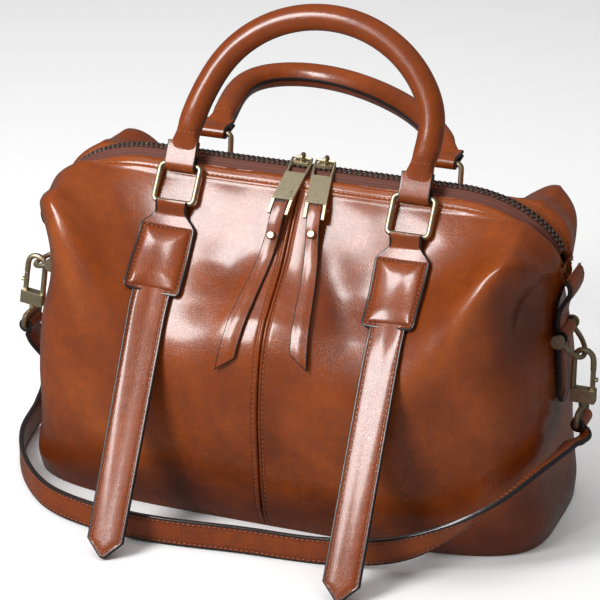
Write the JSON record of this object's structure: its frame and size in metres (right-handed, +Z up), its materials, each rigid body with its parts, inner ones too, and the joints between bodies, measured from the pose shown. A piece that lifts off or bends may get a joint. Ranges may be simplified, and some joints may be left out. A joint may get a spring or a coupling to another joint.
{
  "type": "boston bag",
  "caption": "Soft leather boston bag standing on its base, with rolled handles in rings, a top zip, hanging belts and a clipped shoulder strap on the ground",
  "frame": {"origin": "the middle of the base, on the surface that the bag stands on", "axes": "+X along the zip towards the right end seen from the front, +Y from the front to the back, +Z up"},
  "size_m": [0.3929, 0.297, 0.3137],
  "materials": {
    "bag_leather": "waxed cognac leather with a fine grain and a gloss",
    "trim_leather": "waxed cognac leather with stitching and dark painted edges",
    "zip_tape": "woven red-brown zip tape",
    "zip_teeth": "dark metal zip teeth with bright tips",
    "hardware": "brushed antique brass"
  },
  "bodies": {
    "bag": {"body_left": "bag_leather", "body_right": "bag_leather", "zip_tape_front": "zip_tape", "zip_tape_back": "zip_tape", "zip_chain": "zip_teeth", "slider_left": "hardware", "slider_right": "hardware", "tab_front_left": "trim_leather", "tab_front_right": "trim_leather", "tab_back_left": "trim_leather", "tab_back_right": "trim_leather", "belt_left": "trim_leather", "belt_right": "trim_leather", "end_tab_left": "trim_leather", "end_tab_right": "trim_leather", "end_ring_left": "hardware", "end_ring_right": "hardware", "clip_hook_left": "hardware", "clip_hook_right": "hardware", "clip_swivel_left": "hardware", "clip_swivel_right": "hardware", "shoulder_strap": "trim_leather"},
    "front_rings": {"ring_front_left": "hardware", "ring_front_right": "hardware"},
    "front_grip": {"front_handle": "trim_leather"},
    "back_rings": {"ring_back_left": "hardware", "ring_back_right": "hardware"},
    "back_grip": {"back_handle": "trim_leather"},
    "pull_left": {"pull_plate_left": "hardware", "pull_strip_left": "trim_leather", "pull_rivet_left": "hardware"},
    "pull_right": {"pull_plate_right": "hardware", "pull_strip_right": "trim_leather", "pull_rivet_right": "hardware"},
    "gate_left": {"clip_gate_left": "hardware"},
    "gate_right": {"clip_gate_right": "hardware"}
  },
  "joints": [
    {"name": "front_ring_swing", "type": "hinge", "parent": "bag", "child": "front_rings", "pos_m": [0, -0.03109, 0.19124], "axis": [1, 0, 0], "range_deg": [0, 80]},
    {"name": "front_handle_swing", "type": "hinge", "parent": "front_rings", "child": "front_grip", "pos_m": [0, -0.01681, 0.2109], "axis": [1, 0, 0], "range_deg": [-18, 40]},
    {"name": "back_ring_swing", "type": "hinge", "parent": "bag", "child": "back_rings", "pos_m": [0, 0.03117, 0.19132], "axis": [1, 0, 0], "range_deg": [-20, 35]},
    {"name": "back_handle_swing", "type": "hinge", "parent": "back_rings", "child": "back_grip", "pos_m": [0, 0.03413, 0.21544], "axis": [1, 0, 0], "range_deg": [-10, 60]},
    {"name": "pull_left_swing", "type": "hinge", "parent": "bag", "child": "pull_left", "pos_m": [-0.0021, 0, 0.2199], "axis": [-1, 0, 0], "range_deg": [0, 95]},
    {"name": "pull_right_swing", "type": "hinge", "parent": "bag", "child": "pull_right", "pos_m": [0.0135, 0, 0.2199], "axis": [-1, 0, 0], "range_deg": [0, 95]},
    {"name": "gate_left_press", "type": "hinge", "parent": "bag", "child": "gate_left", "pos_m": [-0.19735, 0, 0.09918], "axis": [0, 1, 0], "range_deg": [0, 25], "stiffness_Nm_per_rad": 0.005, "springref_deg": -20.05},
    {"name": "gate_right_press", "type": "hinge", "parent": "bag", "child": "gate_right", "pos_m": [0.18869, 0, 0.09065], "axis": [0, -1, 0], "range_deg": [0, 25], "stiffness_Nm_per_rad": 0.005, "springref_deg": -20.05}
  ]
}
